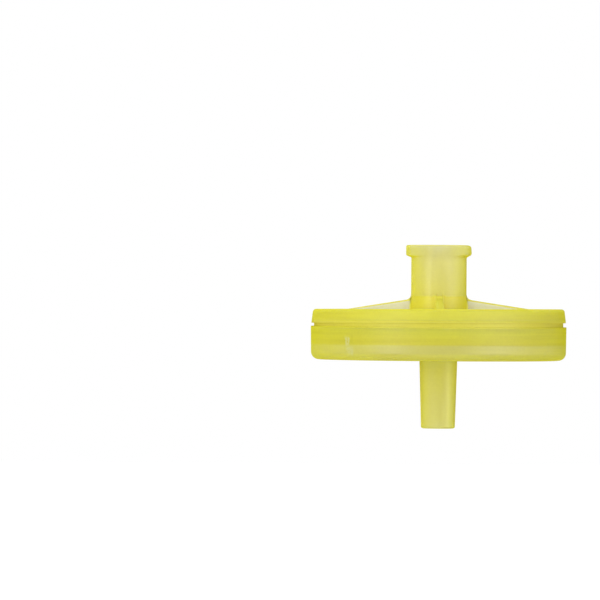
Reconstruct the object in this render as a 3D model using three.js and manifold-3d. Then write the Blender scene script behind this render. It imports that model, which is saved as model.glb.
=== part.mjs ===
// Syringe filter: a disposable 30 mm disc filter that screws onto a syringe by its Luer lock.
//
// It has three pieces. The inlet housing is a cap with the female Luer lock hub, four radial ribs and a
// skirt. The outlet housing is a cup with the male Luer tip and the ribs that hold the membrane up. The
// cap's skirt goes inside the cup and clamps the membrane's edge on the cup's ledge, and the cap's weld
// ring is welded to the cup's rim, which leaves a narrow seam all round.
//
// Units are millimetres. The origin is the centre of the inlet's mouth, +Z points out of the mouth towards
// the syringe, and +X runs through one of the two locking lugs. Everything lies at or below Z = 0.
import * as THREE from "three";
import { mergeVertices } from "three/addons/utils/BufferGeometryUtils.js";
import Module from "manifold-3d";

const wasm = await Module();
wasm.setup();

// Luer fittings: both cones widen by this much in diameter for each millimetre of length.
const LUER_TAPER = 0.06;

// Inlet hub, a female Luer lock.
const HUB_DIAMETER = 6.5;
const HUB_LENGTH = 7.5; // from the mouth down to the top of the cap's rim
const HUB_FILLET = 0.3; // round the hub's foot
const SOCKET_MOUTH_DIAMETER = 4.3;
const SOCKET_DEPTH = 6.1;
const INLET_DUCT_DIAMETER = 2.4; // the narrow hole from the socket's floor into the filter
const MOUTH_CHAMFER = 0.15;

// Locking lugs. Seen from above, each is an arc, with flats from its two ends that run tangent to the hub.
const LUG_PROJECTION = 0.62; // how far a lug stands out from the hub
const LUG_HEIGHT = 1.45;
const LUG_HALF_ANGLE = THREE.MathUtils.degToRad(29);
const LUG_UNDERCUT = 0.3; // height of the slope under a lug

// Cap: rim, sunken plate, ribs and skirt.
const CAP_SETBACK = 0.06; // how far the cap's widest edge, at the seam, lies inside the cup's side
const RIM_HEIGHT = 1.65; // from the rim's top down to the seam
const RIM_WIDTH = 3.8; // from the cap's widest edge in to the sunken plate
const RIM_DRAFT = THREE.MathUtils.degToRad(7);
const RIM_ROUND = 0.4;
const RECESS_DEPTH = 0.35;
const PLATE_THICKNESS = 1.3;
const SKIRT_THICKNESS = 0.9;
const CHAMBER_FILLET = 0.5;

// Radial ribs on the plate.
const RIB_COUNT = 4;
const RIB_THICKNESS = 0.8;
const RIB_RISE_AT_HUB = 1.165; // how far a rib stands over the rim's top where it meets the hub
const RIB_DROP_AT_RIM = 0.14; // how far a rib's outer end lies under the rim's top, down in the recess
const RIB_FILLET = 0.8; // between a rib's top and the hub
const UNION_OVERLAP = 0.2; // how far a rib or lug goes into the body that it is moulded with

// Seam between the two housings.
const SEAM_GAP = 0.4;
const SEAM_DEPTH = 0.38;

// Cup.
const CUP_DIAMETER = 30;
const CUP_HEIGHT = 3.92;
const CUP_WALL = 1.3;
const CUP_ROUND = 0.9;
const FLOOR_THICKNESS = 0.75;
const SKIRT_CLEARANCE = 0.1; // between the cap's skirt and the cup's wall, each side

// Membrane and the ribs under it.
const MEMBRANE_THICKNESS = 0.15;
const MEMBRANE_CLEARANCE = 0.2; // between the membrane's edge and the cup's wall, each side
const SUPPORT_HEIGHT = 1;
const SUPPORT_RING_COUNT = 5;
const SUPPORT_RING_WIDTH = 0.6;
const BOSS_WALL = 1.1; // the ring round the outlet hole
const CHANNEL_COUNT = 8;
const CHANNEL_WIDTH = 0.9;
const CHANNEL_DEPTH = 0.8;

// Outlet tip, a male Luer cone.
const TIP_LENGTH = 8.03;
const TIP_END_DIAMETER = 3.97;
const TIP_BORE_DIAMETER = 2.2;
const TIP_ROUND = 0.35;

// How finely curves are divided.
const TURN_SEGMENTS = 72;
const ARC_SEGMENTS = 4;

// Heights, from the mouth down.
const rimTopZ = -HUB_LENGTH;
const seamTopZ = rimTopZ - RIM_HEIGHT;
const cupTopZ = seamTopZ - SEAM_GAP;
const cupBottomZ = cupTopZ - CUP_HEIGHT;
const tipEndZ = cupBottomZ - TIP_LENGTH;
const floorTopZ = cupBottomZ + FLOOR_THICKNESS;
const supportTopZ = floorTopZ + SUPPORT_HEIGHT;
const membraneTopZ = supportTopZ + MEMBRANE_THICKNESS;
const plateTopZ = rimTopZ - RECESS_DEPTH;
const plateBottomZ = plateTopZ - PLATE_THICKNESS;

// Radii that several pieces share.
const hubRadius = HUB_DIAMETER / 2;
const tipBoreRadius = TIP_BORE_DIAMETER / 2;
const cupRadius = CUP_DIAMETER / 2;
const capRadius = cupRadius - CAP_SETBACK;
const recessRadius = capRadius - RIM_WIDTH;
const cupInnerRadius = cupRadius - CUP_WALL;
const skirtRadius = cupInnerRadius - SKIRT_CLEARANCE;
const chamberRadius = skirtRadius - SKIRT_THICKNESS;
const weldRadius = cupRadius - SEAM_DEPTH;
const bossRadius = tipBoreRadius + BOSS_WALL;
const supportPitch = (chamberRadius - bossRadius) / (SUPPORT_RING_COUNT + 1);

// A closed outline of [radius, height, round] corners. A corner with a round becomes an arc of that radius.
function roundedOutline(corners) {
  return corners.flatMap(([x, y, round], i) => {
    const corner = new THREE.Vector2(x, y);
    if (!round) return [corner];
    const [beforeX, beforeY] = corners.at(i - 1);
    const [afterX, afterY] = corners[(i + 1) % corners.length];
    const toBefore = new THREE.Vector2(beforeX, beforeY).sub(corner).normalize();
    const toAfter = new THREE.Vector2(afterX, afterY).sub(corner).normalize();
    const halfAngle = Math.acos(toBefore.dot(toAfter)) / 2;
    const bisector = toBefore.clone().add(toAfter).normalize();
    const centre = corner.clone().addScaledVector(bisector, round / Math.sin(halfAngle));
    const start = corner.clone().addScaledVector(toBefore, round / Math.tan(halfAngle)).sub(centre);
    const end = corner.clone().addScaledVector(toAfter, round / Math.tan(halfAngle)).sub(centre);
    const turn = Math.atan2(start.cross(end), start.dot(end));
    return Array.from({ length: ARC_SEGMENTS + 1 }, (_, k) =>
      start.clone().rotateAround(new THREE.Vector2(), (turn * k) / ARC_SEGMENTS).add(centre),
    );
  });
}

// The closed outline turned round the Z axis. Its corners run anticlockwise with radius to the right.
function turned(corners) {
  const points = roundedOutline(corners);
  return new THREE.LatheGeometry([...points, points[0]], TURN_SEGMENTS).rotateX(Math.PI / 2);
}

// A geometry as a manifold-3d solid, with only its positions kept so that shared vertices merge.
function solid(geometry) {
  const bare = geometry.clone();
  bare.deleteAttribute("normal");
  bare.deleteAttribute("uv");
  const merged = mergeVertices(bare, 1e-5);
  return new wasm.Manifold(
    new wasm.Mesh({
      numProp: 3,
      vertProperties: merged.attributes.position.array,
      triVerts: new Uint32Array(merged.index.array),
    }),
  );
}

// A manifold-3d solid as a geometry.
function geometryOf(made) {
  const { vertProperties, triVerts } = made.getMesh();
  const geometry = new THREE.BufferGeometry()
    .setAttribute("position", new THREE.BufferAttribute(vertProperties, 3))
    .setIndex(new THREE.BufferAttribute(triVerts, 1));
  geometry.computeVertexNormals();
  return geometry;
}

// count copies of a geometry, spaced evenly round the Z axis, as solids.
function spacedRound(geometry, count, firstAngle = 0) {
  return Array.from({ length: count }, (_, i) =>
    solid(geometry.clone().rotateZ(firstAngle + (2 * Math.PI * i) / count)),
  );
}

// The cap's turned body: hub, sunken plate, rim, weld ring, skirt, and the socket and duct through it.
function capBody() {
  const socketFloorRadius = (SOCKET_MOUTH_DIAMETER - LUER_TAPER * SOCKET_DEPTH) / 2;
  const rimTopRadius = capRadius - RIM_HEIGHT * Math.tan(RIM_DRAFT);
  return turned([
    [SOCKET_MOUTH_DIAMETER / 2 + MOUTH_CHAMFER, 0],
    [SOCKET_MOUTH_DIAMETER / 2, -MOUTH_CHAMFER],
    [socketFloorRadius, -SOCKET_DEPTH],
    [INLET_DUCT_DIAMETER / 2, -SOCKET_DEPTH],
    [INLET_DUCT_DIAMETER / 2, plateBottomZ],
    [chamberRadius, plateBottomZ, CHAMBER_FILLET],
    [chamberRadius, membraneTopZ],
    [skirtRadius, membraneTopZ],
    [skirtRadius, cupTopZ],
    [weldRadius, cupTopZ],
    [weldRadius, seamTopZ],
    [capRadius, seamTopZ],
    [rimTopRadius, rimTopZ, RIM_ROUND],
    [recessRadius, rimTopZ],
    [recessRadius - RECESS_DEPTH, plateTopZ],
    [hubRadius, plateTopZ, HUB_FILLET],
    [hubRadius, 0],
  ]);
}

// One locking lug on +X. Its flats are tangent to the hub, and its underside slopes back to the hub.
function lug() {
  const lugRadius = hubRadius + LUG_PROJECTION;
  const tangentAngle = LUG_HALF_ANGLE + Math.acos(hubRadius / lugRadius);
  const outline = new THREE.Shape();
  outline.absarc(0, 0, lugRadius, -LUG_HALF_ANGLE, LUG_HALF_ANGLE);
  outline.lineTo(hubRadius * Math.cos(tangentAngle), hubRadius * Math.sin(tangentAngle));
  outline.absarc(0, 0, hubRadius - UNION_OVERLAP, tangentAngle, -tangentAngle, true);
  outline.lineTo(hubRadius * Math.cos(tangentAngle), -hubRadius * Math.sin(tangentAngle));
  const plan = new THREE.ExtrudeGeometry(outline, {
    depth: LUG_HEIGHT,
    bevelEnabled: false,
    curveSegments: TURN_SEGMENTS / 6,
  }).translate(0, 0, -LUG_HEIGHT);
  const outside = LUG_PROJECTION + UNION_OVERLAP;
  const envelope = turned([
    [hubRadius - 2 * UNION_OVERLAP, -LUG_HEIGHT],
    [hubRadius, -LUG_HEIGHT],
    [hubRadius + outside, -LUG_HEIGHT + (LUG_UNDERCUT * outside) / LUG_PROJECTION],
    [hubRadius + outside, 0],
    [hubRadius - 2 * UNION_OVERLAP, 0],
  ]);
  return geometryOf(solid(plan).intersect(solid(envelope)));
}

// One rib on +X, standing on the plate from the hub to the side of the recess, with a fillet up the hub's wall.
function rib() {
  const topAtHubZ = rimTopZ + RIB_RISE_AT_HUB;
  const side = roundedOutline([
    [hubRadius - UNION_OVERLAP, plateTopZ - UNION_OVERLAP],
    [recessRadius, plateTopZ - UNION_OVERLAP],
    [recessRadius, rimTopZ - RIB_DROP_AT_RIM],
    [hubRadius, topAtHubZ, RIB_FILLET],
    [hubRadius, topAtHubZ + 2 * RIB_FILLET],
    [hubRadius - UNION_OVERLAP, topAtHubZ + 2 * RIB_FILLET],
  ]);
  return new THREE.ExtrudeGeometry(new THREE.Shape(side), { depth: RIB_THICKNESS, bevelEnabled: false })
    .translate(0, 0, -RIB_THICKNESS / 2)
    .rotateX(Math.PI / 2);
}

function inletHousing() {
  const additions = [...spacedRound(lug(), 2), ...spacedRound(rib(), RIB_COUNT)];
  return geometryOf(additions.reduce((whole, piece) => whole.add(piece), solid(capBody())));
}

// The support rings' corners from the ledge in to the boss, as one stepped run of the cup's outline.
function supportSteps() {
  const rings = Array.from({ length: SUPPORT_RING_COUNT }, (_, i) => {
    const middle = chamberRadius - supportPitch * (i + 1);
    const outer = middle + SUPPORT_RING_WIDTH / 2;
    const inner = middle - SUPPORT_RING_WIDTH / 2;
    return [
      [outer, floorTopZ],
      [outer, supportTopZ],
      [inner, supportTopZ],
      [inner, floorTopZ],
    ];
  });
  return [
    [chamberRadius, supportTopZ],
    [chamberRadius, floorTopZ],
    ...rings.flat(),
    [bossRadius, floorTopZ],
    [bossRadius, supportTopZ],
  ];
}

// The cup's turned body: wall, ledge, support rings, boss, and the tip with its bore.
function cupBody() {
  const tipRootRadius = (TIP_END_DIAMETER + LUER_TAPER * TIP_LENGTH) / 2;
  return turned([
    [tipBoreRadius, tipEndZ],
    [TIP_END_DIAMETER / 2, tipEndZ, TIP_ROUND],
    [tipRootRadius, cupBottomZ],
    [cupRadius, cupBottomZ, CUP_ROUND],
    [cupRadius, cupTopZ],
    [cupInnerRadius, cupTopZ],
    [cupInnerRadius, supportTopZ],
    ...supportSteps(),
    [tipBoreRadius, supportTopZ],
  ]);
}

// One channel along +X, cut from the bore out through the boss and every ring, as far as the outermost gap.
function channel() {
  const start = tipBoreRadius / 2;
  const end = chamberRadius - (supportPitch - SUPPORT_RING_WIDTH / 2) / 2;
  return new THREE.BoxGeometry(end - start, CHANNEL_WIDTH, 2 * CHANNEL_DEPTH).translate(
    (start + end) / 2,
    0,
    supportTopZ,
  );
}

function outletHousing() {
  const channels = spacedRound(channel(), CHANNEL_COUNT, Math.PI / CHANNEL_COUNT);
  return geometryOf(channels.reduce((whole, cut) => whole.subtract(cut), solid(cupBody())));
}

// The membrane, a thin round sheet with its edge clamped between the skirt and the ledge.
function membrane() {
  const radius = cupInnerRadius - MEMBRANE_CLEARANCE;
  return turned([
    [0, supportTopZ],
    [radius, supportTopZ],
    [radius, membraneTopZ],
    [0, membraneTopZ],
  ]);
}

const housingPlastic = new THREE.MeshStandardMaterial({
  name: "housing_plastic",
  color: new THREE.Color().setRGB(0.84, 0.81, 0.3, THREE.SRGBColorSpace),
  roughness: 0.35,
  metalness: 0,
});
const membraneSheet = new THREE.MeshStandardMaterial({
  name: "membrane_sheet",
  color: new THREE.Color().setRGB(0.95, 0.95, 0.93, THREE.SRGBColorSpace),
  roughness: 0.9,
  metalness: 0,
});

function piece(name, geometry, material) {
  const mesh = new THREE.Mesh(geometry, material);
  mesh.name = name;
  return mesh;
}

const filter = new THREE.Group();
filter.name = "syringe_filter";
filter.add(
  piece("inlet_housing", inletHousing(), housingPlastic),
  piece("membrane", membrane(), membraneSheet),
  piece("outlet_housing", outletHousing(), housingPlastic),
);

export default filter;
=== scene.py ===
import math

import bmesh
import bpy
import numpy as np
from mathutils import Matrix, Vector


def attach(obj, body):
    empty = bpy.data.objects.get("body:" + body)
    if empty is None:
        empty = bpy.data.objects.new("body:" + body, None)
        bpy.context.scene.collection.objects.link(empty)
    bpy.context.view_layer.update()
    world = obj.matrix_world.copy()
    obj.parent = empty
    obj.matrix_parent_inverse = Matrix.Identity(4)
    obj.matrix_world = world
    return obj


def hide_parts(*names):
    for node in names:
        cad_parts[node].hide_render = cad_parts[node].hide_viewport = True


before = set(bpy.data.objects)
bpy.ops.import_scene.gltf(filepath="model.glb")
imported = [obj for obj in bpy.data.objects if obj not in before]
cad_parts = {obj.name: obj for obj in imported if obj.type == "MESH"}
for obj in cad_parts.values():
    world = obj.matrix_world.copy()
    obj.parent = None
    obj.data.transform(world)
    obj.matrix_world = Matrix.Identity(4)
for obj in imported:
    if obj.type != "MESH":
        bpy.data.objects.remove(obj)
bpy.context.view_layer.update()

# ------------------------------------------------------------------------------------------------------
# Outlet housing: the lower half of the filter, one injection moulding in translucent yellow plastic. It
# is a shallow cup, with a ledge and support rings for the membrane inside and the tapered outlet tip
# below.
# ------------------------------------------------------------------------------------------------------
MM = 0.001

# Heights, in millimetres below the inlet's mouth.
CUP_TOP, CUP_BOTTOM, TIP_END = -9.55, -13.47, -21.5
FLOOR_TOP = CUP_BOTTOM + 0.75
SUPPORT_TOP = FLOOR_TOP + 1
CUP_RADIUS, CUP_INNER_RADIUS, CHAMBER_RADIUS = 15.0, 13.7, 12.7
TIP_BORE, TIP_END_RADIUS, TIP_ROOT_RADIUS = 1.1, 1.985, 2.226
BOSS_RADIUS = 2.2
RING_COUNT, RING_WIDTH = 5, 0.6
CHANNEL_COUNT, CHANNEL_FLOOR, CHANNEL_END_RADIUS = 8, FLOOR_TOP + 0.2, CHAMBER_RADIUS - 0.9

# The most that an arc turns from one point to the next, in radians, and the least angle that stays sharp.
ARC_STEP, SHARP_ANGLE = 0.26, math.radians(34)


def outline(corners, step=0.9, edge=0.03):
    """A closed outline through (radius, height, round) corners. Each round is an arc that touches both
    sides, and each straight side is divided every step or so, with one extra point close to each end."""
    corners = [(*c, 0.0)[:3] for c in corners]
    arcs = []
    for i, (r, z, round_) in enumerate(corners):
        here = np.array([r, z])
        if not round_:
            arcs.append(here[None, :])
            continue
        before, after = (np.array(corners[k % len(corners)][:2]) - here for k in (i - 1, i + 1))
        before, after = before / np.linalg.norm(before), after / np.linalg.norm(after)
        half = math.acos(np.clip(before @ after, -1, 1)) / 2
        centre = here + (before + after) / np.linalg.norm(before + after) * round_ / math.sin(half)
        start, end = here + before * round_ / math.tan(half), here + after * round_ / math.tan(half)
        a, b = start - centre, end - centre
        turn = math.atan2(a[0] * b[1] - a[1] * b[0], a @ b)
        t = np.linspace(0, turn, 3 + int(abs(turn) / ARC_STEP))
        c, s = np.cos(t), np.sin(t)
        arcs.append(centre + np.stack([a[0] * c - a[1] * s, a[0] * s + a[1] * c], 1))
    rows = []
    for i, arc in enumerate(arcs):
        a, b = arc[-1], arcs[(i + 1) % len(arcs)][0]
        length = np.linalg.norm(b - a)
        count = max(int(length / step), 1)
        t = np.linspace(0, 1, count + 1)[1:-1]
        near = min(edge / length, 0.25)
        t = np.concatenate([[near], t, [1 - near]]) if length > 1e-6 else t
        rows += [arc, a + (b - a) * t[:, None]]
    return np.concatenate(rows)


def closed_grid(points):
    """Four-sided faces over a grid of points whose rows and whose columns both close on themselves."""
    rows, columns = points.shape[:2]
    i, j = np.meshgrid(np.arange(rows), np.arange(columns), indexing="ij")
    down, along = (i + 1) % rows, (j + 1) % columns
    return np.stack([i * columns + j, i * columns + along, down * columns + along, down * columns + j], -1)


def moulding(name, points, quads):
    """A smooth-shaded mesh object from points in millimetres and their faces, turned to face outwards.
    Points that fall together, as at the middle of a sheet, are merged."""
    points = points.reshape(-1, 3) * MM
    quads = quads.reshape(-1, 4)
    a, b, c, d = (points[quads[:, k]] for k in range(4))
    if np.einsum("ij,ij->", a, np.cross(b, c) + np.cross(c, d)) < 0:
        quads = quads[:, ::-1]
    mesh = bpy.data.meshes.new(name)
    mesh.vertices.add(len(points))
    mesh.vertices.foreach_set("co", points.ravel())
    mesh.loops.add(quads.size)
    mesh.loops.foreach_set("vertex_index", quads.ravel().astype(np.int32))
    mesh.polygons.add(len(quads))
    mesh.polygons.foreach_set("loop_start", np.arange(0, quads.size, 4, dtype=np.int32))
    mesh.update(calc_edges=True)
    welded = bmesh.new()
    welded.from_mesh(mesh)
    bmesh.ops.remove_doubles(welded, verts=welded.verts, dist=1e-8)
    welded.to_mesh(mesh)
    welded.free()
    mesh.validate()
    mesh.shade_smooth()
    mesh.set_sharp_from_angle(angle=SHARP_ANGLE)
    piece = bpy.data.objects.new(name, mesh)
    bpy.context.scene.collection.objects.link(piece)
    return piece


def spoked_angles(radius, sides, offsets, between):
    """Angles round the axis for a grid of radii. Columns beside each of the evenly spaced spokes keep a
    fixed distance from its middle line, so their angle is the arcsine of distance over radius, and the
    rest are evenly spread from one spoke to the next. Close to the axis the angle is kept within 0.45 of
    the way to the next spoke."""
    sector = 2 * np.pi / sides
    radius = radius.reshape(len(radius), sides, -1)
    signed = np.concatenate([-offsets[:0:-1], offsets])
    widest = np.sin(sector * 0.45) * np.abs(signed) / offsets[-1]
    beside = np.arcsin(np.clip(signed / radius[..., : len(signed)], -widest, widest))
    last = beside[..., -1:]
    free = last + (sector - 2 * last) * np.linspace(0, 1, between + 2)[1:-1]
    spokes = sector * np.arange(sides)[:, None]
    return (np.concatenate([beside, free], -1) + spokes).reshape(len(radius), -1)


ring_pitch = (CHAMBER_RADIUS - BOSS_RADIUS) / (RING_COUNT + 1)
support_corners = [(CHAMBER_RADIUS, SUPPORT_TOP, 0.08), (CHAMBER_RADIUS, FLOOR_TOP, 0.15)]
for k in range(RING_COUNT):
    middle = CHAMBER_RADIUS - ring_pitch * (k + 1)
    outer, inner = middle + RING_WIDTH / 2, middle - RING_WIDTH / 2
    support_corners += [
        (outer + 0.03, FLOOR_TOP, 0.12),
        (outer - 0.03, SUPPORT_TOP, 0.1),
        (inner + 0.03, SUPPORT_TOP, 0.1),
        (inner - 0.03, FLOOR_TOP, 0.12),
    ]
support_corners += [(BOSS_RADIUS, FLOOR_TOP, 0.12), (BOSS_RADIUS, SUPPORT_TOP, 0.1)]
cup_rows = outline([
    (TIP_BORE, TIP_END, 0.08),
    (TIP_END_RADIUS, TIP_END, 0.22),
    (TIP_ROOT_RADIUS, CUP_BOTTOM, 0.12),
    (CUP_RADIUS - 0.05, CUP_BOTTOM, 0.9),
    (CUP_RADIUS, CUP_TOP, 0.06),
    (CUP_INNER_RADIUS, CUP_TOP),
    (CUP_INNER_RADIUS, SUPPORT_TOP),
    *support_corners,
    (TIP_BORE, SUPPORT_TOP, 0.1),
])

# The channels cut across the rings: how deep each is at distances from its middle line, from 1 to 0.
channel_offsets = np.array([0, 0.2, 0.36, 0.42, 0.45, 0.48, 0.52, 0.6])
channel_depth = np.array([1, 1, 1, 0.93, 0.5, 0.07, 0, 0])
BETWEEN_CHANNELS = 14
one_channel = np.concatenate([channel_depth[:0:-1], channel_depth, np.zeros(BETWEEN_CHANNELS)])
cut = np.tile(one_channel, CHANNEL_COUNT)
radius = np.repeat(cup_rows[:, :1], len(cut), 1)
height = np.repeat(cup_rows[:, 1:], len(cut), 1)
angles = spoked_angles(radius, CHANNEL_COUNT, channel_offsets, BETWEEN_CHANNELS) + np.pi / CHANNEL_COUNT
cut = cut * ((radius < CHANNEL_END_RADIUS) & (height > FLOOR_TOP))
height = height - cut * np.maximum(height - CHANNEL_FLOOR, 0)
points = np.stack([radius * np.cos(angles), radius * np.sin(angles), height], -1)
outlet_housing = moulding("outlet_moulding", points, closed_grid(points))


def add(tree, kind, settings=(), **values):
    """A shader node with some settings, and values for the inputs that its keywords name."""
    node = tree.nodes.new("ShaderNode" + kind)
    for name, value in dict(settings).items():
        setattr(node, name, value)
    for name, value in values.items():
        socket = node.inputs[int(name[2:]) if name.startswith("in") else name.replace("_", " ")]
        if isinstance(value, bpy.types.NodeSocket):
            tree.links.new(value, socket)
        else:
            socket.default_value = value
    return node


def math_node(tree, operation, a, b=0.0, c=0.0, clamp=False):
    """The value of a Math node on up to three values or sockets."""
    return add(tree, "Math", dict(operation=operation, use_clamp=clamp), in0=a, in1=b, in2=c).outputs[0]


def step_up(tree, value, start, end):
    """A smooth step from 0 where value is start to 1 where it is end."""
    settings = dict(interpolation_type="SMOOTHSTEP")
    return add(tree, "MapRange", settings, Value=value, From_Min=start, From_Max=end).outputs["Result"]


def within_range(tree, value, low, high, soft):
    """1 where value is between low and high, with a smooth step of width soft round each of them."""
    rise = step_up(tree, value, low - soft / 2, low + soft / 2)
    fall = step_up(tree, value, high + soft / 2, high - soft / 2)
    return math_node(tree, "MULTIPLY", rise, fall)


def blend(tree, factor, low, high):
    """A colour between two others: the first where factor is 0, and the second where it is 1."""
    mix = tree.nodes.new("ShaderNodeMix")
    mix.data_type = "RGBA"
    for socket, value in zip((mix.inputs[0], mix.inputs[6], mix.inputs[7]), (factor, low, high)):
        if isinstance(value, bpy.types.NodeSocket):
            tree.links.new(value, socket)
        else:
            socket.default_value = (*value, 1) if isinstance(value, tuple) else value
    return mix.outputs[2]


def by_height(tree, z, stops):
    """A colour that changes with height, through (height in mm, colour) stops from the lowest up."""
    low, high = stops[0][0] * MM, stops[-1][0] * MM
    along = add(tree, "MapRange", Value=z, From_Min=low, From_Max=high).outputs["Result"]
    ramp = add(tree, "ValToRGB", Fac=along)
    elements = ramp.color_ramp.elements
    while len(elements) < len(stops):
        elements.new(0.5)
    for element, (height, colour) in zip(elements, stops):
        element.position = (height * MM - low) / (high - low)
        element.color = (*(colour if isinstance(colour, tuple) else (colour,) * 3), 1)
    return ramp.outputs["Color"]


def moulded_surface():
    """Node group: what a frosted mould leaves on the plastic. Cloud is a noise a few millimetres wide,
    Streak is a noise stretched 25 times round the part into thin level lines, Speck is fine mottling, and
    Height is fine grain mixed with shallow waves."""
    group = bpy.data.node_groups.new("moulded_surface", "ShaderNodeTree")
    sockets = group.interface.new_socket
    sockets("Place", in_out="INPUT", socket_type="NodeSocketVector")
    for name, value in (("Cloud Scale", 170.0), ("Grain Scale", 2600.0), ("Wave Share", 0.6)):
        sockets(name, in_out="INPUT", socket_type="NodeSocketFloat").default_value = value
    for name in ("Cloud", "Streak", "Speck", "Height"):
        sockets(name, in_out="OUTPUT", socket_type="NodeSocketFloat")
    start, end = group.nodes.new("NodeGroupInput"), group.nodes.new("NodeGroupOutput")
    place = start.outputs["Place"]
    cloud_scale, grain_scale = start.outputs["Cloud Scale"], start.outputs["Grain Scale"]
    cloud = add(group, "TexNoise", Vector=place, Scale=cloud_scale, Detail=2.0, Roughness=0.5)
    flat = add(group, "VectorMath", dict(operation="MULTIPLY"), in0=place, in1=(0.04, 0.04, 1.0))
    streak = add(group, "TexNoise", Vector=flat.outputs[0], Scale=1700.0, Detail=3.0, Roughness=0.6)
    speck = add(group, "TexNoise", Vector=place, Scale=3400.0, Detail=2.0, Roughness=0.7)
    grain = add(group, "TexNoise", Vector=place, Scale=grain_scale, Detail=3.0, Roughness=0.6)
    wave = add(group, "TexNoise", Vector=place, Scale=520.0, Detail=1.0)
    share = start.outputs["Wave Share"]
    mixed = add(group, "Mix", Factor=share, A=grain.outputs["Fac"], B=wave.outputs["Fac"])
    for name, node in (("Cloud", cloud), ("Streak", streak), ("Speck", speck)):
        group.links.new(node.outputs["Fac"], end.inputs[name])
    group.links.new(mixed.outputs["Result"], end.inputs["Height"])
    return group


frosted = moulded_surface()
PLASTIC_IOR, GLOSS_ROUGHNESS = 1.49, 0.35
# How far light wanders in the milky plastic and how high its grain stands, in metres.
WANDER, GRAIN_HEIGHT = 0.0018, 0.00003
# How fast the deeper yellow takes over where a face turns away.
EDGE_GAIN = 1.25


def translucent(name, look):
    """A clear yellow plastic with a milky cloud in it. Rough glass that absorbs blue lies under a share of
    scattering, which turns to a deeper yellow by EDGE_GAIN times the Facing value, so most at the edges.
    In the weld's groove light no longer wanders in the plastic, so the groove does not take the shade of
    the covered faces next to it, and with the tone that look gives there this is painted light. look takes
    a point's place, its height and distance from the axis, and how far its face looks up and out. It gives
    the scattering's tone, its edge_tone and its share, the rough value, the clear part's tint, the
    streaks' strength, the weld's mask, and where there are any, a mark to add to the grain and a gloss."""
    material = bpy.data.materials.new(name)
    material.use_nodes = True
    tree = material.node_tree
    clear, output = tree.nodes["Principled BSDF"], tree.nodes["Material Output"]
    coordinates = add(tree, "TexCoord").outputs
    place = coordinates["Object"]
    z = add(tree, "SeparateXYZ", Vector=place).outputs["Z"]
    normal = coordinates["Normal"]
    upright = add(tree, "SeparateXYZ", Vector=normal).outputs["Z"]
    level = add(tree, "VectorMath", dict(operation="MULTIPLY"), in0=place, in1=(1, 1, 0)).outputs[0]
    radius = add(tree, "VectorMath", dict(operation="LENGTH"), in0=level).outputs["Value"]
    outwards = add(tree, "VectorMath", dict(operation="DOT_PRODUCT"), in0=level, in1=normal)
    facing_out = math_node(tree, "DIVIDE", outwards.outputs["Value"], radius)
    part = look(tree, place, z, radius, upright, facing_out)

    surface = add(tree, "Group", dict(node_tree=frosted), Place=place).outputs
    cloud = math_node(tree, "MULTIPLY_ADD", surface["Cloud"], 0.14, 0.93)
    speck = math_node(tree, "MULTIPLY_ADD", surface["Speck"], 0.12, -0.06)
    streak = math_node(tree, "SUBTRACT", surface["Streak"], 0.5)
    streak = math_node(tree, "MULTIPLY", streak, part["streaks"])
    shade = math_node(tree, "ADD", cloud, math_node(tree, "ADD", speck, streak))
    worn = math_node(tree, "MULTIPLY_ADD", surface["Cloud"], 0.16, -0.08)
    rough = math_node(tree, "ADD", part["rough"], worn, clamp=True)
    relief = math_node(tree, "ADD", surface["Height"], part.get("mark", 0.0))
    bump = add(tree, "Bump", Strength=0.5, Distance=GRAIN_HEIGHT, Height=relief).outputs["Normal"]

    milk, edge = add(tree, "BsdfPrincipled"), add(tree, "BsdfPrincipled")
    for shader, tone, specular in ((clear, "tint", 0.5), (milk, "tone", 0.5), (edge, "edge_tone", 0.0)):
        colour = add(tree, "VectorMath", dict(operation="MULTIPLY"), in0=part[tone], in1=shade).outputs[0]
        shader.inputs["IOR"].default_value = PLASTIC_IOR
        shader.inputs["Specular IOR Level"].default_value = specular
        tree.links.new(bump, shader.inputs["Normal"])
        tree.links.new(rough, shader.inputs["Roughness"])
        tree.links.new(colour, shader.inputs["Base Color"])
    clear.inputs["Transmission Weight"].default_value = 1
    clear.inputs["Specular Tint"].default_value = (1, 0.98, 0.8, 1)
    off_groove = math_node(tree, "SUBTRACT", 1.0, part["weld"])
    for shader in (milk, edge):
        tree.links.new(off_groove, shader.inputs["Subsurface Weight"])
        shader.inputs["Subsurface Radius"].default_value = (1, 1, 1)
        shader.inputs["Subsurface Scale"].default_value = WANDER
    if "gloss" in part:
        tree.links.new(part["gloss"], milk.inputs["Coat Weight"])
        milk.inputs["Coat Roughness"].default_value = GLOSS_ROUGHNESS

    outer = math_node(tree, "SUBTRACT", 1.0, add(tree, "NewGeometry").outputs["Backfacing"])
    share = math_node(tree, "MULTIPLY", part["share"], outer, clamp=True)
    grazing = add(tree, "LayerWeight", Blend=0.5).outputs["Facing"]
    deep = math_node(tree, "MULTIPLY", grazing, EDGE_GAIN, clamp=True)
    deep = math_node(tree, "MULTIPLY", deep, outer)
    both = add(tree, "MixShader", in0=share, in1=clear.outputs[0], in2=milk.outputs[0])
    whole = add(tree, "MixShader", in0=deep, in1=both.outputs[0], in2=edge.outputs[0])
    tree.links.new(whole.outputs[0], output.inputs["Surface"])
    absorb = add(tree, "VolumeAbsorption", Color=(0.9985, 0.9975, 0.5, 1), Density=1000.0)
    tree.links.new(absorb.outputs[0], output.inputs["Volume"])
    return material


# How far the scar's outline is torn, in metres, and how far round the cup it sits from the front.
SCAR_TEAR, SCAR_TURN = 0.0006, math.radians(45.9)


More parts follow.
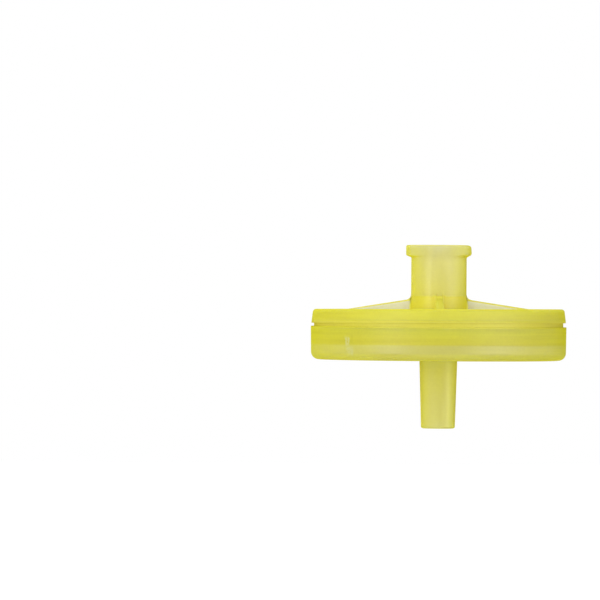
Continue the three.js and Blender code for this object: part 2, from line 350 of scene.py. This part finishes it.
def gate_scar():
    """Node group: the scar where the cup was cut from its runner, on its front left side. Mark is a ragged
    upright smear with a broader patch at its foot: each is 1 inside a range of height and of distance
    along the side, and both are broken up by noise. Shadow is the dull line beside them."""
    group = bpy.data.node_groups.new("gate_scar", "ShaderNodeTree")
    group.interface.new_socket("Place", in_out="INPUT", socket_type="NodeSocketVector")
    for name in ("Mark", "Shadow"):
        group.interface.new_socket(name, in_out="OUTPUT", socket_type="NodeSocketFloat")
    start, end = group.nodes.new("NodeGroupInput"), group.nodes.new("NodeGroupOutput")
    place = start.outputs["Place"]
    ragged = add(group, "TexNoise", Vector=place, Scale=1500.0, Detail=2.0).outputs["Color"]
    middle = (0.5, 0.5, 0.5)
    shift = add(group, "VectorMath", dict(operation="SUBTRACT"), in0=ragged, in1=middle).outputs[0]
    shift = add(group, "VectorMath", dict(operation="SCALE"), in0=shift, Scale=SCAR_TEAR).outputs[0]
    shifted = add(group, "VectorMath", dict(operation="ADD"), in0=place, in1=shift).outputs[0]
    turned = add(group, "Mapping", Vector=shifted, Rotation=(0, 0, SCAR_TURN)).outputs[0]
    along, out, z = add(group, "SeparateXYZ", Vector=turned).outputs
    on_side = step_up(group, out, -0.014, -0.0145)

    # Each shape's left and right along the side, its bottom and top, and how soft its edge is, in metres.
    shapes = []
    for left, right, low, high, soft in (
        (-0.0004, 0.0002, -0.0118, -0.0107, 0.0003),
        (-0.0002, 0.0009, -0.0128, -0.0120, 0.0004),
        (0.0005, 0.0009, -0.0115, -0.0106, 0.0004),
    ):
        across = within_range(group, along, left, right, soft)
        shapes.append(math_node(group, "MULTIPLY", across, within_range(group, z, low, high, soft)))
    torn = add(group, "TexNoise", Vector=place, Scale=3600.0, Detail=3.0, Roughness=0.7).outputs["Fac"]
    torn = step_up(group, torn, 0.3, 0.55)
    mark = math_node(group, "MULTIPLY", math_node(group, "MAXIMUM", shapes[0], shapes[1]), torn)
    group.links.new(math_node(group, "MULTIPLY", mark, on_side), end.inputs["Mark"])
    group.links.new(math_node(group, "MULTIPLY", shapes[2], on_side), end.inputs["Shadow"])
    return group


def outlet_look(tree, place, z, radius, upright, facing_out):
    """The tip is the clearest, and the cup is cloudier. The cup's side is deep yellow where the cap's
    skirt is behind it, and pale and glossier below, round the space under the membrane. Its underside and
    the top of the tip just under it are lighter: painted light in the shade under the cup. In the weld's
    groove the tone is painted light, so that the groove shows no shade. The scar's mark is pale and its
    shadow dull."""
    tone = by_height(tree, z, [
        (-21.5, (0.74, 0.70, 0.15)),
        (-18, (0.755, 0.715, 0.125)),
        (-14.2, (0.90, 0.86, 0.065)),
        # Painted light: the tip's top just under the cup, in the cup's shade, is lighter.
        (-13.7, (0.98, 0.95, 0.15)),
        (-13.45, (0.93, 0.865, 0.15)),
        (-12.85, (0.92, 0.855, 0.16)),
        (-12.65, (0.88, 0.825, 0.17)),
        (-11.85, (0.875, 0.82, 0.19)),
        (-11.55, (0.86, 0.79, 0.06)),
        (-11.2, (0.86, 0.79, 0.045)),
        (-10.7, (0.95, 0.87, 0.065)),
        (-9.7, (0.97, 0.885, 0.07)),
        (-9.55, (0.99, 0.905, 0.08)),
    ])
    edge_tone = by_height(tree, z, [
        (-21.5, (0.71, 0.655, 0.05)),
        (-13.7, (0.72, 0.66, 0.04)),
        (-13.4, (0.76, 0.70, 0.05)),
        (-12.7, (0.76, 0.71, 0.06)),
        (-11.8, (0.76, 0.71, 0.06)),
        (-11.5, (0.76, 0.70, 0.03)),
        (-9.55, (0.78, 0.72, 0.025)),
    ])
    share = by_height(tree, z, [
        (-21.5, 0.9),
        (-21.2, 0.5),
        (-13.9, 0.55),
        (-13.45, 0.7),
        (-12.8, 0.7),
        (-12.6, 0.65),
        (-11.8, 0.65),
        (-11.6, 0.8),
        (-9.55, 0.8),
    ])
    rough = by_height(tree, z, [(-21.5, 0.35), (-13.8, 0.4), (-13.5, 0.45), (-9.55, 0.45)])
    # Painted light: faces of the cup that look down, in the shade under it, are lighter and cloudier.
    downward, on_cup = step_up(tree, upright, -0.8, -0.95), step_up(tree, z, -0.0139, -0.0136)
    underside = math_node(tree, "MULTIPLY", downward, on_cup)
    tone = blend(tree, underside, tone, (1.0, 0.95, 0.13))
    share = math_node(tree, "MULTIPLY_ADD", underside, 0.25, share)
    scar = add(tree, "Group", dict(node_tree=gate_scar()), Place=place).outputs
    tone = blend(tree, scar["Mark"], tone, (1.0, 0.98, 0.55))
    tone = blend(tree, math_node(tree, "MULTIPLY", scar["Shadow"], 0.6), tone, (0.78, 0.72, 0.05))
    # Painted light: at the weld's groove on the cup's rim the tone is set and light no longer wanders in
    # the plastic, so that the groove shows no shade.
    outermost = step_up(tree, radius, 0.0144, 0.0145)
    weld = math_node(tree, "MULTIPLY", step_up(tree, z, -0.00975, -0.0096), outermost)
    return dict(
        tone=blend(tree, weld, tone, (0.81, 0.735, 0.06)),
        edge_tone=edge_tone,
        share=math_node(tree, "ADD", share, weld, clamp=True),
        rough=rough,
        tint=(1, 0.98, 0.95),
        streaks=math_node(tree, "MULTIPLY", step_up(tree, z, -0.0139, -0.0134), 0.3),
        weld=weld,
        mark=scar["Mark"],
        gloss=within_range(tree, z, -0.0127, -0.0117, 0.0003),
    )


outlet_housing.data.materials.append(translucent("outlet_plastic", outlet_look))
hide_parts("outlet_housing")
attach(outlet_housing, "root")

# ------------------------------------------------------------------------------------------------------
# Membrane: a thin white sheet of porous plastic, cut round. Its edge is clamped between the cup's ledge
# and the cap's skirt, and the rest lies on the support rings.
# ------------------------------------------------------------------------------------------------------
MEMBRANE_RADIUS, MEMBRANE_BOTTOM, MEMBRANE_TOP = 13.5, SUPPORT_TOP + 0.01, SUPPORT_TOP + 0.14
MEMBRANE_SIDES = 120


def sheet_rows(radius, bottom, top, count):
    """Half of the sheet's section as (radius, height): from the axis out along the underside at even
    steps, round the blunt edge at half its thickness, and back to the axis on top."""
    out = np.linspace(0, radius - 0.03, count)
    under = np.stack([out, np.full(count, bottom)], 1)
    over = np.stack([out[::-1], np.full(count, top)], 1)
    return np.concatenate([under, [[radius, (bottom + top) / 2]], over])


membrane_rows = sheet_rows(MEMBRANE_RADIUS, MEMBRANE_BOTTOM, MEMBRANE_TOP, 60)
turn = np.linspace(0, 2 * np.pi, MEMBRANE_SIDES, endpoint=False)
points = np.stack([
    membrane_rows[:, :1] * np.cos(turn),
    membrane_rows[:, :1] * np.sin(turn),
    np.repeat(membrane_rows[:, 1:], MEMBRANE_SIDES, 1),
], -1)
membrane = moulding("membrane_sheet", points, closed_grid(points)[:-1])


def porous_sheet(name):
    """A matt white sheet full of pores finer than can be seen: 0.6 of a noise of 0.1 mm and 0.4 of one of
    1 mm mottle its colour and roughness, and the fine one lifts it."""
    material = bpy.data.materials.new(name)
    material.use_nodes = True
    tree = material.node_tree
    shader = tree.nodes["Principled BSDF"]
    place = add(tree, "TexCoord").outputs["Object"]
    pores = add(tree, "TexNoise", Vector=place, Scale=9000.0, Detail=4.0, Roughness=0.7).outputs["Fac"]
    mottle = add(tree, "TexNoise", Vector=place, Scale=900.0, Detail=2.0).outputs["Fac"]
    both = math_node(tree, "MULTIPLY_ADD", mottle, 0.4, math_node(tree, "MULTIPLY", pores, 0.6))
    tree.links.new(blend(tree, both, (0.72, 0.72, 0.66), (0.95, 0.95, 0.92)), shader.inputs["Base Color"])
    tree.links.new(math_node(tree, "MULTIPLY_ADD", both, 0.3, 0.65), shader.inputs["Roughness"])
    bump = add(tree, "Bump", Strength=0.6, Distance=0.00002, Height=pores)
    tree.links.new(bump.outputs["Normal"], shader.inputs["Normal"])
    return material


membrane.data.materials.append(porous_sheet("membrane_sheet"))
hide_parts("membrane")
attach(membrane, "root")

# ------------------------------------------------------------------------------------------------------
# Inlet housing: the upper half of the filter, a moulding in the same plastic. It is the cap that is
# welded on the cup, with the hub, its two locking lugs and four ribs above, and the clamping skirt inside.
# ------------------------------------------------------------------------------------------------------
HUB_RADIUS, MOUTH_RADIUS, SOCKET_END_RADIUS, SOCKET_END = 3.25, 2.15, 1.967, -6.1
DUCT_RADIUS, PLATE_BOTTOM, PLATE_TOP, RIM_TOP = 1.2, -9.15, -7.85, -7.5
SKIRT_RADIUS, SKIRT_BOTTOM = 13.6, MEMBRANE_TOP + 0.01
CAP_RADIUS, RIM_TOP_RADIUS, RECESS_RADIUS = 14.94, 14.737, 11.14
WELD_RADIUS, WELD_FLASH, SEAM_TOP, CAP_LEAN = 14.62, 0.29, -9.135, 0.07
RIB_COUNT, RIB_TOP_AT_HUB, RIB_END, RIB_FILLET, HUB_FILLET = 4, -6.335, -7.57, 0.8, 0.3
RIB_SLOPE = (RIB_TOP_AT_HUB - RIB_END) / (RECESS_RADIUS - HUB_RADIUS)
LUG_BOTTOM, LUG_CORNER = -1.45, math.radians(28.5)
# The lugs on +X and -X: radius at the bottom and the top, height of the lower edge, and both rounds.
LUGS = ((3.85, 3.77, -1.12, 0.22, 0.42), (3.87, 3.86, -1.2, 0.12, 0.22))


def line(start, end, count):
    """count points at even steps from start to end, both included."""
    t = np.linspace(0, 1, count)[:, None]
    return np.array(start) * (1 - t) + np.array(end) * t


def bend(before, corner, after, tangent, count):
    """count points of a parabola that rounds a corner, from tangent short of it to tangent past it."""
    before, corner, after = (np.array(p, float) for p in (before, corner, after))
    start = corner + (before - corner) / np.linalg.norm(before - corner) * tangent
    end = corner + (after - corner) / np.linalg.norm(after - corner) * tangent
    t = np.linspace(0, 1, count)[:, None]
    return start * (1 - t) ** 2 + corner * 2 * t * (1 - t) + end * t**2


def follow(path, count):
    """count points at even distances along a bent line, leaving out its first point."""
    steps = np.linalg.norm(np.diff(path, axis=0), axis=1)
    along = np.concatenate([[0], np.cumsum(steps)])
    at = np.linspace(0, along[-1], count + 1)[1:]
    return np.stack([np.interp(at, along, path[:, k]) for k in range(2)], 1)


# The outline from the recess's edge inwards, over the plate and over a rib, to the hub's wall above them.
tangent = RIB_FILLET * math.tan((math.pi / 2 - math.atan(RIB_SLOPE)) / 2)
rib_end = (HUB_RADIUS, RIB_TOP_AT_HUB + tangent)
fillet_start = HUB_RADIUS + tangent * math.cos(math.atan(RIB_SLOPE))
across = np.concatenate([
    RECESS_RADIUS - np.array([0, 0.02, 0.05, 0.12, 0.2, 0.26, 0.3, 0.35, 0.42]),
    np.linspace(RECESS_RADIUS - 0.6, fillet_start, 24),
])
wall_out, wall_drop = [0, 0.02, 0.05, 0.26, 0.3, 0.35, 0.42], [0, 0.01, 0.04, 0.28, 0.32, 0.345, 0.35]
drop = np.interp(RECESS_RADIUS - across, wall_out, wall_drop)
over_plate = np.stack([across, RIM_TOP - drop], 1)
foot = [over_plate[-1:], bend((4, PLATE_TOP), (HUB_RADIUS, PLATE_TOP), rib_end, HUB_FILLET, 8), [rib_end]]
over_plate = np.concatenate([over_plate, follow(np.concatenate(foot), 18)])
rib_top = RIB_END + RIB_SLOPE * (RECESS_RADIUS - across)
over_rib = np.stack([across, np.maximum(rib_top, RIM_TOP - drop)], 1)
top = bend(over_rib[-1], (HUB_RADIUS, RIB_TOP_AT_HUB), rib_end, tangent, 30)
over_rib = np.concatenate([over_rib, follow(top, 18)])

# From there up the wall, and over the lugs' band to the mouth's chamfer, on the plain hub and on a lug.
wall = line((HUB_RADIUS, rib_end[1] + 0.2), (HUB_RADIUS, LUG_BOTTOM - 0.2), 7)
chamfer = (MOUTH_RADIUS + 0.2, 0)


def band(low_radius, high_radius, edge_bottom, edge_round, top_round):
    """The outline from the hub's wall to the mouth's chamfer, over a lug whose side runs from the low
    radius to the high one. Its lower edge and its top edge are rounded by parabolas."""
    root, low, high = (HUB_RADIUS, LUG_BOTTOM), (low_radius, edge_bottom), (high_radius, 0)
    side = line(low, high, 11)
    return np.concatenate([
        bend((HUB_RADIUS, -9), root, low, 0.1, 5),
        bend(root, low, high, edge_round, 7),
        side[4:6],
        bend(low, high, chamfer, top_round, 10),
        line((HUB_RADIUS - 0.2, 0), chamfer, 4),
    ])


plain_band = band(HUB_RADIUS, HUB_RADIUS, -1.15, 0.1, 0.1)

# The rest, from the mouth down the socket and the duct, under the plate, and round the skirt and the rim.
within = outline([
    (MOUTH_RADIUS + 0.15, 0, 0.04),
    (MOUTH_RADIUS, -0.15, 0.04),
    (SOCKET_END_RADIUS, SOCKET_END, 0.15),
    (DUCT_RADIUS, SOCKET_END, 0.08),
    (DUCT_RADIUS, PLATE_BOTTOM, 0.15),
    (CHAMBER_RADIUS, PLATE_BOTTOM, 0.5),
    (CHAMBER_RADIUS, SKIRT_BOTTOM, 0.1),
    (SKIRT_RADIUS, SKIRT_BOTTOM, 0.1),
    (SKIRT_RADIUS, CUP_TOP + 0.01),
    (WELD_RADIUS, CUP_TOP + 0.01),
    (WELD_RADIUS, SEAM_TOP),
    (CAP_RADIUS, SEAM_TOP, 0.06),
    (RIM_TOP_RADIUS, RIM_TOP, 0.4),
    (RECESS_RADIUS, RIM_TOP),
    (RECESS_RADIUS - 0.1, RIM_TOP - 1),
    (HUB_RADIUS, 0),
])
within = within[: np.argmin(np.hypot(within[:, 0] - RECESS_RADIUS, within[:, 1] - RIM_TOP))]

# Columns beside a rib keep their distance from its middle plane. As far as its side they are lowered from
# the rib's top by its rounded edge, and past it they are raised from the plate by the fillet at its foot.
# The columns on the side, half a rib's 0.8 mm out, lie some of the way down from the one to the other.
beside = np.array([
    0, 0.15, 0.27, 0.31, 0.345, 0.37, 0.388, 0.397,
    0.3985, 0.4, 0.4015, 0.403, 0.412, 0.435, 0.47, 0.53, 0.62,
])
edge_drop = np.array([0, 0, 0, 0.008, 0.025, 0.05, 0.085, 0.13, 0.13, 0.13, 0.13, 0, 0, 0, 0, 0, 0])
foot_rise = np.array([0, 0, 0, 0, 0, 0, 0, 0, 0.15, 0.15, 0.15, 0.15, 0.105, 0.06, 0.025, 0.004, 0])
down_side = np.array([0, 0, 0, 0, 0, 0, 0, 0, 0.08, 0.5, 0.92, 1, 1, 1, 1, 1, 1])
BETWEEN_RIBS = 40


def each_side(values, fill=0):
    """A value for each column, from values for the offsets beside a rib and one for those between."""
    one_rib = np.concatenate([values[:0:-1], values, np.full(BETWEEN_RIBS, fill)])
    return np.tile(one_rib, RIB_COUNT)[None, :, None]


def outward(path):
    """The direction square to each point of a path, on the side that faces away from the plastic."""
    step = np.gradient(path, axis=0)
    step = step / np.linalg.norm(step, axis=1)[:, None]
    return np.stack([step[:, 1], -step[:, 0]], 1)[:, None]


ease = np.clip(np.linalg.norm(over_rib - over_plate, axis=1) / 0.4, 0, 1)[:, None, None]
beside_rib = over_plate[:, None] + outward(over_plate) * ease * each_side(foot_rise)
on_rib = over_rib[:, None] - outward(over_rib) * ease * each_side(edge_drop)
ribbed = on_rib + (beside_rib - on_rib) * each_side(down_side, 1)
columns = ribbed.shape[1]

# A lug's side is flat and touches the hub's round wall, so its radius is the hub's over a cosine, and a
# smooth minimum of that and the lug's own radius rounds the lug's corner.
turn = spoked_angles(np.full((1, columns), HUB_RADIUS), RIB_COUNT, beside, BETWEEN_RIBS)
bands = np.repeat(plain_band[:, None], columns, 1)
for k, lug in enumerate(LUGS):
    off = np.abs((turn - k * np.pi + np.pi) % (2 * np.pi) - np.pi)
    touch = LUG_CORNER + math.acos(HUB_RADIUS / lug[0])
    flat = HUB_RADIUS / np.cos(np.clip(touch - off, 0, touch))
    rounded = (flat + lug[0] - np.sqrt((flat - lug[0]) ** 2 + 0.004)) / 2
    share = np.clip((rounded - HUB_RADIUS) / (lug[0] - HUB_RADIUS), 0, 1)[..., None]
    bands = bands + share * (band(*lug) - plain_band)[:, None]

# The cap was welded on a trace out of true: it leans, and the groove under its rim is wider on one side.
# The lean grows from nothing 4 mm off the axis to its full share at 11 mm, so the hub stays upright. The
# weld's flash varies round the groove as one less the fourth power of the angle's cosine.
around = [np.repeat(rows[:, None], columns, 1) for rows in (wall, within)]
radius, height = np.moveaxis(np.concatenate([ribbed, around[0], bands, around[1]]), -1, 0)
angles = spoked_angles(np.maximum(radius, HUB_RADIUS), RIB_COUNT, beside, BETWEEN_RIBS)
outside = np.clip((radius - 4) / 7, 0, 1) * (height > CUP_TOP + 0.1)
height = height + outside * CAP_LEAN * radius * np.cos(angles) / CAP_RADIUS
weld = np.isclose(radius, WELD_RADIUS)
radius = radius + weld * WELD_FLASH * (1 - np.cos(angles) ** 4)
points = np.stack([radius * np.cos(angles), radius * np.sin(angles), height], -1)
inlet_housing = moulding("inlet_moulding", points, closed_grid(points))


def inlet_look(tree, place, z, radius, upright, facing_out):
    """The hub is clear and milky above its socket's floor, and deep yellow below it; the band of its lugs
    is darker, painted shade that tones down the gleam on the lugs' flat sides. The ribs' thin sides are
    pale a little below their tops. Their roots at the hub are wholly milky, with a lighter fillet in the
    corner, painted light in place of the shade there, and where their tops face up they are a darker,
    deeper yellow where they are seen along, painted shade that tones down the light from above. The faces
    of the plate and the rim's top that look up are lighter and cloudier, painted light. The rim's side is
    cloudy down to the weld, whose groove has a tone of painted light."""
    tone = by_height(tree, z, [
        (-11.6, (0.88, 0.83, 0.06)),
        (-9.6, (0.99, 0.94, 0.12)),
        (-9.12, (0.97, 0.905, 0.10)),
        (-8.95, (0.92, 0.85, 0.09)),
        (-8.3, (0.93, 0.86, 0.10)),
        (-7.55, (0.91, 0.84, 0.08)),
        (-7.3, (0.92, 0.845, 0.08)),
        (-6.05, (0.93, 0.855, 0.07)),
        (-5.85, (0.87, 0.82, 0.24)),
        (-2, (0.83, 0.78, 0.33)),
        # Painted shade: the band of the lugs, from -1.3 mm up, is darker, to tone down the gleam on the
        # lugs' flat sides.
        (-1.3, (0.75, 0.70, 0.32)),
        (-0.25, (0.72, 0.68, 0.36)),
        (0, (0.82, 0.76, 0.14)),
    ])
    edge_tone = by_height(tree, z, [
        (-11.6, (0.78, 0.72, 0.04)),
        (-7.55, (0.78, 0.72, 0.04)),
        (-7.45, (0.88, 0.82, 0.08)),
        (-6.1, (0.88, 0.82, 0.08)),
        (-5.8, (0.82, 0.77, 0.07)),
        (0, (0.82, 0.77, 0.08)),
    ])
    share = by_height(tree, z, [
        (-11.6, 0.7),
        (-7.5, 0.7),
        (-7.4, 0.9),
        (-6.1, 0.9),
        (-5.9, 0.55),
        (-0.3, 0.55),
        (-0.1, 0.9),
        (0, 0.9),
    ])
    rough = by_height(tree, z, [
        (-11.6, 0.45),
        (-9.3, 0.45),
        (-9, 0.5),
        (-7.5, 0.5),
        (-7.4, 0.35),
        (-1.6, 0.35),
        (-1.3, 0.55),
        (0, 0.55),
    ])
    # Painted light: faces that look up, on the plate and the rim's top, are lighter and cloudier.
    facing_up = step_up(tree, upright, 0.5, 0.9)
    top_painted_light = math_node(tree, "MULTIPLY", facing_up, step_up(tree, z, -0.0071, -0.0073))
    tone = blend(tree, top_painted_light, tone, (1.0, 0.88, 0.06))
    share = math_node(tree, "MULTIPLY_ADD", top_painted_light, 0.25, share)

    # The ribs reach from the hub's fillet to the recess's edge, and from the plate up.
    rib_start, rib_stop, rib_foot = 0.00336, 0.01108, -0.0078
    between = within_range(tree, radius, rib_start, rib_stop, 0.0001)
    web = math_node(tree, "MULTIPLY", between, within_range(tree, z, rib_foot, -0.0062, 0.0001))
    rib_side = math_node(tree, "MULTIPLY", web, within_range(tree, upright, -0.5, 0.5, 0.3))
    rib_side = math_node(tree, "MULTIPLY", rib_side, within_range(tree, facing_out, -0.45, 0.45, 0.3))
    level_top = math_node(tree, "MULTIPLY_ADD", radius, RIB_SLOPE, z)
    below_top = step_up(tree, level_top, -0.00593, -0.00606)
    rib_side = math_node(tree, "MULTIPLY", rib_side, below_top)
    tone = blend(tree, web, tone, (0.87, 0.80, 0.07))
    edge_tone = blend(tree, web, edge_tone, (0.82, 0.755, 0.07))
    tone = blend(tree, rib_side, tone, (0.825, 0.815, 0.73))
    edge_tone = blend(tree, rib_side, edge_tone, (0.95, 0.885, 0.12))
    share = blend(tree, rib_side, share, (0.72, 0.72, 0.72))
    x, y, _ = add(tree, "SeparateXYZ", Vector=place).outputs
    off_rib = math_node(tree, "MINIMUM", math_node(tree, "ABSOLUTE", x), math_node(tree, "ABSOLUTE", y))
    near_rib = step_up(tree, off_rib, 0.0008, 0.0005)
    near_hub = step_up(tree, radius, 0.0045, 0.0040)
    root = math_node(tree, "MULTIPLY", near_rib, within_range(tree, z, rib_foot, -0.0059, 0.0002))
    root = math_node(tree, "MULTIPLY", root, near_hub)
    share = blend(tree, root, share, (1.0, 1.0, 1.0))
    edge_tone = blend(tree, root, edge_tone, (0.86, 0.79, 0.08))
    # Painted light: the fillet in the corner where a rib's root meets the hub is lighter, in place of the
    # shade that falls in the corner.
    corner = math_node(tree, "MULTIPLY", root, within_range(tree, facing_out, 0.15, 0.85, 0.1))
    corner = math_node(tree, "MULTIPLY", corner, step_up(tree, radius, 0.0036, 0.0034))
    tone = blend(tree, corner, tone, (1.0, 0.94, 0.10))
    edge_tone = blend(tree, corner, edge_tone, (1.0, 0.94, 0.12))
    # Painted shade: where a rib's top faces up, its edge tone is darker, to tone down the light it catches
    # from above.
    rib_top = math_node(tree, "MULTIPLY", math_node(tree, "MULTIPLY", facing_up, near_rib), between)
    edge_tone = blend(tree, rib_top, edge_tone, (0.73, 0.67, 0.06))

    # Painted light: in the weld's groove under the cap's rim the groove's tone and a lighter edge tone are
    # set, and light no longer wanders in the plastic, so that the groove shows no shade.
    outermost = step_up(tree, radius, 0.0144, 0.0145)
    weld = math_node(tree, "MULTIPLY", step_up(tree, z, -0.0088, -0.0090), outermost)
    groove_painted_light = by_height(tree, z, [
        (-9.55, (0.83, 0.755, 0.06)),
        (-9.35, (0.79, 0.715, 0.05)),
        (-9.2, (0.75, 0.68, 0.04)),
        (-9.0, (0.79, 0.715, 0.06)),
    ])
    return dict(
        tone=blend(tree, weld, tone, groove_painted_light),
        edge_tone=blend(tree, weld, edge_tone, (0.88, 0.8, 0.09)),
        share=math_node(tree, "ADD", share, weld, clamp=True),
        rough=rough,
        tint=by_height(tree, z, [
            (-7.4, (1, 0.98, 0.95)),
            (-6, (0.96, 0.95, 0.98)),
            (0, (0.92, 0.92, 0.99)),
        ]),
        streaks=math_node(tree, "MULTIPLY", step_up(tree, z, -0.0073, -0.0076), 0.24),
        weld=weld,
    )


inlet_housing.data.materials.append(translucent("inlet_plastic", inlet_look))
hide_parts("inlet_housing")
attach(inlet_housing, "root")

# ------------------------------------------------------------------------------------------------------
# The studio: a white painted floor well below the filter, which hangs from its mouth, white surroundings
# that are dimmer on the right, soft lamps all round, and the camera in front.
# ------------------------------------------------------------------------------------------------------
AIM = (0, 0, -0.011)


def lamp(name, place, size, power):
    """A square area lamp of that many watts, turned so that it faces the filter."""
    data = bpy.data.lights.new(name, "AREA")
    data.shape, data.size, data.energy = "SQUARE", size, power
    light = bpy.data.objects.new(name, data)
    light.location = place
    light.rotation_mode = "QUATERNION"
    light.rotation_quaternion = (Vector(AIM) - Vector(place)).to_track_quat("-Z", "Y")
    bpy.context.scene.collection.objects.link(light)
    return light


key_lamp = lamp("key_lamp", (-0.40, -0.45, 0.06), 0.25, 0.42)
top_lamp = lamp("top_lamp", (0, -0.05, 0.6), 0.5, 0.6)

# Two lamps only fill, without a reflection or a shadow of their own, and three only make the soft gleams.
front_lamp = lamp("front_lamp", (0, -0.7, 0.05), 0.8, 0.57)
right_lamp = lamp("right_lamp", (0.28, -0.53, 0.05), 0.25, 0.18)
for filler in (front_lamp, right_lamp):
    filler.visible_glossy = False
    filler.data.use_shadow = False
left_gleam = lamp("left_gleam", (-0.46, -0.39, 0.05), 0.3, 0.6)
right_gleam = lamp("right_gleam", (0.50, -0.34, 0.05), 0.5, 2.7)
rear_gleam = lamp("rear_gleam", (0.56, 0.14, 0.03), 0.5, 0.6)
for gleam in (left_gleam, right_gleam, rear_gleam):
    gleam.visible_diffuse = False


def seen_directly(tree):
    """1 for rays from the camera, off gloss and through clear plastic, and 0 for the rest."""
    rays = add(tree, "LightPath").outputs
    bent = math_node(tree, "MAXIMUM", rays["Is Glossy Ray"], rays["Is Transmission Ray"])
    return math_node(tree, "MAXIMUM", rays["Is Camera Ray"], bent)


# The surroundings are white where they are seen, and light the filter at a lower level, which falls by a
# share of DIMMING towards +X.
ROOM_LEVEL, DIMMING = 0.65, 0.6
world = bpy.data.worlds.new("studio_air")
bpy.context.scene.world = world
world.use_nodes = True
tree = world.node_tree
shown = seen_directly(tree)
level = math_node(tree, "MULTIPLY_ADD", shown, 1 - ROOM_LEVEL, ROOM_LEVEL)
direction = add(tree, "TexCoord").outputs["Generated"]
aside = add(tree, "SeparateXYZ", Vector=direction).outputs["X"]
dimmer = math_node(tree, "MULTIPLY_ADD", step_up(tree, aside, 0.4, 1.0), -DIMMING, 1.0)
level = math_node(tree, "MULTIPLY", level, math_node(tree, "MAXIMUM", shown, dimmer))
tree.nodes["Background"].inputs["Color"].default_value = (1, 1, 1, 1)
tree.links.new(level, tree.nodes["Background"].inputs["Strength"])

FLOOR_Z = -0.09
floor_mesh = bpy.data.meshes.new("floor")
floor_corners = [(-2, -2, FLOOR_Z), (2, -2, FLOOR_Z), (2, 2, FLOOR_Z), (-2, 2, FLOOR_Z)]
floor_mesh.from_pydata(floor_corners, [], [(0, 1, 2, 3)])
floor = bpy.data.objects.new("floor", floor_mesh)
bpy.context.scene.collection.objects.link(floor)

# The paint is slightly mottled, glows as white as the surroundings, and can be seen through from below.
paint = bpy.data.materials.new("floor_paint")
paint.use_nodes = True
floor_mesh.materials.append(paint)
tree = paint.node_tree
shader = tree.nodes["Principled BSDF"]
place = add(tree, "TexCoord").outputs["Object"]
mottle = add(tree, "TexNoise", Vector=place, Scale=25.0, Detail=3.0).outputs["Fac"]
tree.links.new(blend(tree, mottle, (0.79, 0.79, 0.79), (0.81, 0.81, 0.81)), shader.inputs["Base Color"])
tree.links.new(math_node(tree, "MULTIPLY_ADD", mottle, 0.1, 0.85), shader.inputs["Roughness"])
shader.inputs["Emission Color"].default_value = (1, 1, 1, 1)
glow = math_node(tree, "MULTIPLY", seen_directly(tree), 0.55)
tree.links.new(glow, shader.inputs["Emission Strength"])
below = add(tree, "NewGeometry").outputs["Backfacing"]
gap = add(tree, "BsdfTransparent").outputs[0]
open_below = add(tree, "MixShader", in0=below, in1=shader.outputs[0], in2=gap)
tree.links.new(open_below.outputs[0], tree.nodes["Material Output"].inputs["Surface"])

camera_data = bpy.data.cameras.new("camera")
camera_data.sensor_width, camera_data.lens = 36, 306.7
camera_data.clip_start, camera_data.clip_end = 0.05, 20
camera = bpy.data.objects.new("camera", camera_data)
camera.location = (-0.016285, -0.6, -0.00655)
camera.rotation_euler = (math.radians(90), math.radians(-0.4), 0)
bpy.context.scene.collection.objects.link(camera)
bpy.context.scene.camera = camera
bpy.context.scene.view_settings.view_transform = "Standard"
